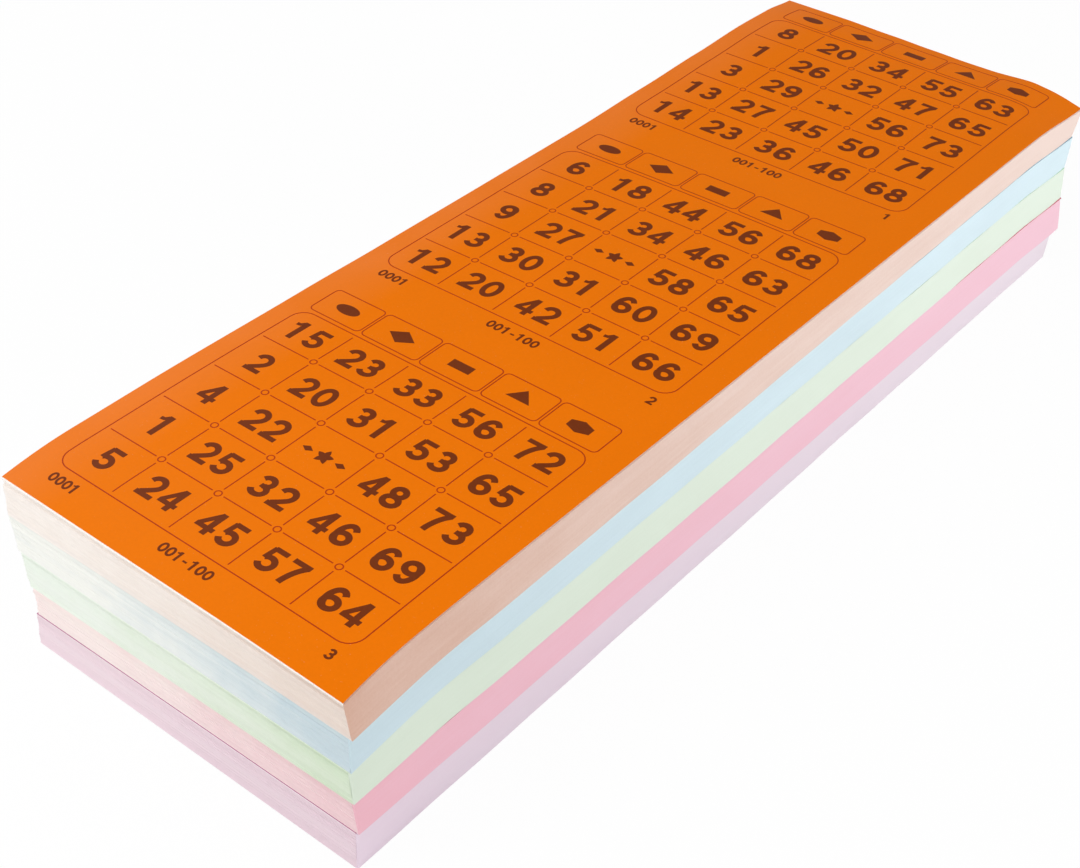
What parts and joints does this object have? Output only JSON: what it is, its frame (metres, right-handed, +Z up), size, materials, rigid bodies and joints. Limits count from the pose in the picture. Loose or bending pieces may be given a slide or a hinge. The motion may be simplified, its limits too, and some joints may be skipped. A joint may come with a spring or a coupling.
{
  "type": "stack of number game ticket pads",
  "caption": "Stack of glued paper ticket pads in pastel colours; each ticket is a long strip printed with square number grids, and lifts or turns up about its glued edge.",
  "frame": {"origin": "middle of the stack's footprint, on the surface that it stands on", "axes": "+X across a ticket towards its glued long edge, +Y along the ticket in the direction in which its numbers stand upright, +Z up through the stack"},
  "size_m": [0.0712, 0.21, 0.033],
  "materials": {
    "lilac_print": "thin paper, printed all over in lilac, satin",
    "lilac_leaves": "cut edges of stacked thin paper, matt",
    "lilac_glue": "thin dried padding glue over cut paper edges, faint sheen",
    "pink_print": "thin paper, printed all over in pink, satin",
    "pink_leaves": "cut edges of stacked thin paper, matt",
    "pink_glue": "thin dried padding glue over cut paper edges, faint sheen",
    "green_print": "thin paper, printed all over in green, satin",
    "green_leaves": "cut edges of stacked thin paper, matt",
    "green_glue": "thin dried padding glue over cut paper edges, faint sheen",
    "blue_print": "thin paper, printed all over in blue, satin",
    "blue_leaves": "cut edges of stacked thin paper, matt",
    "blue_glue": "thin dried padding glue over cut paper edges, faint sheen",
    "orange_print": "thin paper, printed all over in orange, satin",
    "orange_leaves": "cut edges of stacked thin paper, matt",
    "orange_glue": "thin dried padding glue over cut paper edges, faint sheen"
  },
  "bodies": {
    "lilac_pad": {"lilac_top_ticket": "lilac_print", "lilac_second_ticket": "lilac_print", "lilac_loose_tickets": "lilac_leaves", "lilac_ticket_block": "lilac_leaves", "lilac_glue_edge": "lilac_glue"},
    "pink_pad": {"pink_top_ticket": "pink_print", "pink_second_ticket": "pink_print", "pink_loose_tickets": "pink_leaves", "pink_ticket_block": "pink_leaves", "pink_glue_edge": "pink_glue"},
    "green_pad": {"green_top_ticket": "green_print", "green_second_ticket": "green_print", "green_loose_tickets": "green_leaves", "green_ticket_block": "green_leaves", "green_glue_edge": "green_glue"},
    "blue_pad": {"blue_top_ticket": "blue_print", "blue_second_ticket": "blue_print", "blue_loose_tickets": "blue_leaves", "blue_ticket_block": "blue_leaves", "blue_glue_edge": "blue_glue"},
    "orange_pad": {"orange_loose_tickets": "orange_leaves", "orange_ticket_block": "orange_leaves", "orange_glue_edge": "orange_glue"},
    "orange_second_ticket": {"orange_second_ticket": "orange_print"},
    "orange_top_ticket": {"orange_top_ticket": "orange_print"}
  },
  "joints": [
    {"name": "lift_pink_pad", "type": "slide", "parent": "lilac_pad", "child": "pink_pad", "axis": [0, 0, 1], "range_m": [0, 0.04]},
    {"name": "lift_green_pad", "type": "slide", "parent": "pink_pad", "child": "green_pad", "axis": [0, 0, 1], "range_m": [0, 0.04]},
    {"name": "lift_blue_pad", "type": "slide", "parent": "green_pad", "child": "blue_pad", "axis": [0, 0, 1], "range_m": [0, 0.04]},
    {"name": "lift_orange_pad", "type": "slide", "parent": "blue_pad", "child": "orange_pad", "axis": [0, 0, 1], "range_m": [0, 0.04]},
    {"name": "turn_orange_second_ticket", "type": "hinge", "parent": "orange_pad", "child": "orange_second_ticket", "pos_m": [0.0342, 0, 0.03293], "axis": [0, 1, 0], "range_deg": [0, 55]},
    {"name": "turn_orange_top_ticket", "type": "hinge", "parent": "orange_second_ticket", "child": "orange_top_ticket", "pos_m": [0.0342, 0, 0.033], "axis": [0, 1, 0], "range_deg": [0, 120]}
  ]
}
